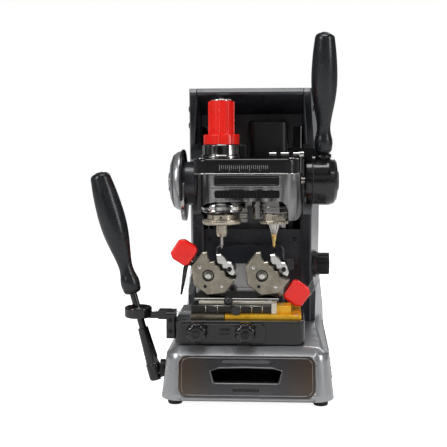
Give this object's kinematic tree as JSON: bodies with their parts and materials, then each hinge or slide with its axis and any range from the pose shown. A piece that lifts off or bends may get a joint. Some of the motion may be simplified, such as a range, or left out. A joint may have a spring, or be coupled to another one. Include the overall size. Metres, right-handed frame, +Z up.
{
  "type": "key duplicating machine",
  "caption": "Bench key duplicating machine: lever-fed cutter and tracer head over a joystick-driven cross table with two tilting key clamps, a hooded column and a tool drawer in the base.",
  "frame": {"origin": "centre of the base footprint, on the surface the feet stand on", "axes": "+Z up, +X to the right of the user, +Y away from the user towards the back"},
  "size_m": [0.2718, 0.2866, 0.4009],
  "materials": {
    "satin_silver": "satin silver-grey paint",
    "zinc": "zinc plated",
    "rubber": "matt black",
    "cast": "machined casting",
    "chrome": "polished",
    "steel": "ground steel",
    "dark_shell": "dark grey paint",
    "clear": "clear polycarbonate",
    "board": "circuit board",
    "black_plastic": "matt black",
    "aluminium": "machined",
    "dark_gloss": "gloss dark grey",
    "red": "gloss red",
    "cream_steel": "warm nickel plate",
    "gold": "gold coated carbide",
    "grip": "satin dark grey",
    "yellow": "yellow anodised",
    "nickel": "satin nickel",
    "gunmetal": "gloss gunmetal"
  },
  "bodies": {
    "base": {"base_shell": "satin_silver", "base_plate": "zinc", "rubber_feet": "rubber", "column_frame": "cast", "z_guide_rods": "chrome", "z_rack": "steel", "y_guide_rods": "chrome", "right_side_shell": "satin_silver", "left_side_shell": "satin_silver", "visor": "dark_shell", "rear_cover": "dark_shell", "front_panel": "dark_shell", "chip_guards": "clear", "motor_controller": "board", "power_inlet": "black_plastic"},
    "head": {"head_casting": "aluminium", "head_shell": "chrome", "head_lid": "dark_gloss", "head_bearings": "steel", "tracer_collars": "chrome", "motor": "steel", "motor_cover": "black_plastic", "drive_belt": "rubber", "spring_cap": "satin_silver"},
    "motor_drive": {"motor_pulley": "aluminium"},
    "tracer_adjuster": {"tracer_knob": "red"},
    "tracer_sleeve": {"tracer_quill": "cream_steel", "tracer_spring": "steel"},
    "tracer_stylus": {"tracer_point": "steel"},
    "spindle": {"spindle_shaft": "steel", "collet_nut": "cream_steel", "collet": "steel", "cutter": "gold"},
    "feed_lever": {"pinion_shaft": "steel", "lever_hub": "dark_gloss", "right_grip": "grip"},
    "spindle_lock": {"spindle_lock_pin": "chrome"},
    "saddle": {"saddle_block": "cast", "x_guide_rods": "chrome"},
    "table": {"table_cover": "dark_gloss", "riser_block": "yellow", "clamp_plate": "cream_steel", "clamp_carrier": "steel", "lever_ring_arm": "dark_gloss", "chip_tray": "clear"},
    "x_lock": {"x_lock_knob": "dark_gloss"},
    "y_lock": {"y_lock_knob": "dark_gloss"},
    "stop": {"stop_lever": "dark_gloss"},
    "left_clamp": {"left_clamp_jaw": "nickel"},
    "right_clamp": {"right_clamp_jaw": "nickel"},
    "left_jaw": {"left_moving_jaw": "steel"},
    "right_jaw": {"right_moving_jaw": "steel"},
    "left_handle": {"left_clamp_lever": "red"},
    "right_handle": {"right_clamp_lever": "red"},
    "knuckle": {"lever_knuckle": "black_plastic"},
    "joystick": {"joystick_rod": "dark_gloss", "left_grip": "grip"},
    "speed_dial": {"speed_knob": "black_plastic"},
    "rocker": {"power_switch": "black_plastic"},
    "drawer": {"drawer": "gunmetal"}
  },
  "joints": [
    {"name": "head_slide", "type": "slide", "parent": "base", "child": "head", "axis": [0, 0, -1], "range_m": [0, 0.024], "stiffness_N_per_m": 420, "springref_m": -0.2},
    {"name": "feed_lever_turn", "type": "hinge", "parent": "head", "child": "feed_lever", "pos_m": [0, -0.008, 0.234], "axis": [1, 0, 0], "range_deg": [0, 86.2]},
    {"name": "spindle_turn", "type": "hinge", "parent": "head", "child": "spindle", "pos_m": [0.0274, -0.045, 0.2], "axis": [0, 0, 1], "continuous": true},
    {"name": "motor_turn", "type": "hinge", "parent": "head", "child": "motor_drive", "pos_m": [0.0204, 0.005, 0.25], "axis": [0, 0, 1], "continuous": true},
    {"name": "tracer_knob_turn", "type": "hinge", "parent": "head", "child": "tracer_adjuster", "pos_m": [-0.0318, -0.045, 0.28], "axis": [0, 0, 1], "range_deg": [-361, 361]},
    {"name": "tracer_height", "type": "slide", "parent": "head", "child": "tracer_sleeve", "axis": [0, 0, -1], "range_m": [-0.0015, 0.0015]},
    {"name": "tracer_press", "type": "slide", "parent": "tracer_sleeve", "child": "tracer_stylus", "axis": [0, 0, 1], "range_m": [0, 0.004], "stiffness_N_per_m": 400, "springref_m": -0.002, "deforming": ["tracer_spring"]},
    {"name": "spindle_lock_slide", "type": "slide", "parent": "head", "child": "spindle_lock", "axis": [-1, 0, 0], "range_m": [0, 0.006]},
    {"name": "y_slide", "type": "slide", "parent": "base", "child": "saddle", "axis": [0, 1, 0], "range_m": [-0.017, 0.01]},
    {"name": "x_slide", "type": "slide", "parent": "saddle", "child": "table", "axis": [1, 0, 0], "range_m": [-0.012, 0.024]},
    {"name": "x_lock_turn", "type": "hinge", "parent": "table", "child": "x_lock", "pos_m": [-0.0534, -0.13, 0.0796], "axis": [0, 1, 0], "range_deg": [-90, 90]},
    {"name": "y_lock_turn", "type": "hinge", "parent": "table", "child": "y_lock", "pos_m": [-0.0019, -0.13, 0.0796], "axis": [0, 1, 0], "range_deg": [-90, 90]},
    {"name": "stop_turn", "type": "hinge", "parent": "table", "child": "stop", "pos_m": [-0.0127, -0.108, 0.0996], "axis": [0, 1, 0], "range_deg": [0, 85]},
    {"name": "left_clamp_tilt", "type": "hinge", "parent": "table", "child": "left_clamp", "pos_m": [-0.0385, -0.065, 0.136], "axis": [0, -1, 0], "range_deg": [0, 15]},
    {"name": "right_clamp_tilt", "type": "hinge", "parent": "table", "child": "right_clamp", "pos_m": [0.0207, -0.065, 0.136], "axis": [0, -1, 0], "range_deg": [0, 15]},
    {"name": "left_handle_turn", "type": "hinge", "parent": "left_clamp", "child": "left_handle", "pos_m": [-0.0385, -0.069, 0.136], "axis": [0, -1, 0], "range_deg": [0, 45.3]},
    {"name": "right_handle_turn", "type": "hinge", "parent": "right_clamp", "child": "right_handle", "pos_m": [0.0207, -0.069, 0.136], "axis": [0, -1, 0], "range_deg": [0, 45.3]},
    {"name": "left_jaw_slide", "type": "slide", "parent": "left_clamp", "child": "left_jaw", "axis": [0.7071, 0, 0.7071], "range_m": [0, 0.0045]},
    {"name": "right_jaw_slide", "type": "slide", "parent": "right_clamp", "child": "right_jaw", "axis": [0.7071, 0, 0.7071], "range_m": [0, 0.0045]},
    {"name": "joystick_pitch", "type": "hinge", "parent": "base", "child": "knuckle", "pos_m": [-0.104, -0.095, 0.032], "axis": [1, 0, 0], "range_deg": [-9.3, 15.8]},
    {"name": "joystick_roll", "type": "hinge", "parent": "knuckle", "child": "joystick", "pos_m": [-0.104, -0.095, 0.032], "axis": [0, 1, 0], "range_deg": [-11.2, 22.2]},
    {"name": "drawer_slide", "type": "slide", "parent": "base", "child": "drawer", "axis": [0, -1, 0], "range_m": [0, 0.11]},
    {"name": "speed_dial_turn", "type": "hinge", "parent": "base", "child": "speed_dial", "pos_m": [0.08, 0.045, 0.1297], "axis": [1, 0, 0], "range_deg": [-135, 135]},
    {"name": "switch_rock", "type": "hinge", "parent": "base", "child": "rocker", "pos_m": [-0.0335, 0.131, 0.035], "axis": [1, 0, 0], "range_deg": [0, 14]}
  ],
  "couplings": [
    {"joint": "feed_lever_turn", "follows": "head_slide", "rad_per_m": 62.5},
    {"joint": "motor_turn", "follows": "spindle_turn", "ratio": 1.3646},
    {"joint": "tracer_knob_turn", "follows": "tracer_height", "rad_per_m": 4188.8},
    {"joint": "left_handle_turn", "follows": "left_jaw_slide", "rad_per_m": 174.53},
    {"joint": "right_handle_turn", "follows": "right_jaw_slide", "rad_per_m": 174.53},
    {"joint": "joystick_pitch", "follows": "y_slide", "rad_per_m": -16},
    {"joint": "joystick_roll", "follows": "x_slide", "rad_per_m": 16}
  ]
}
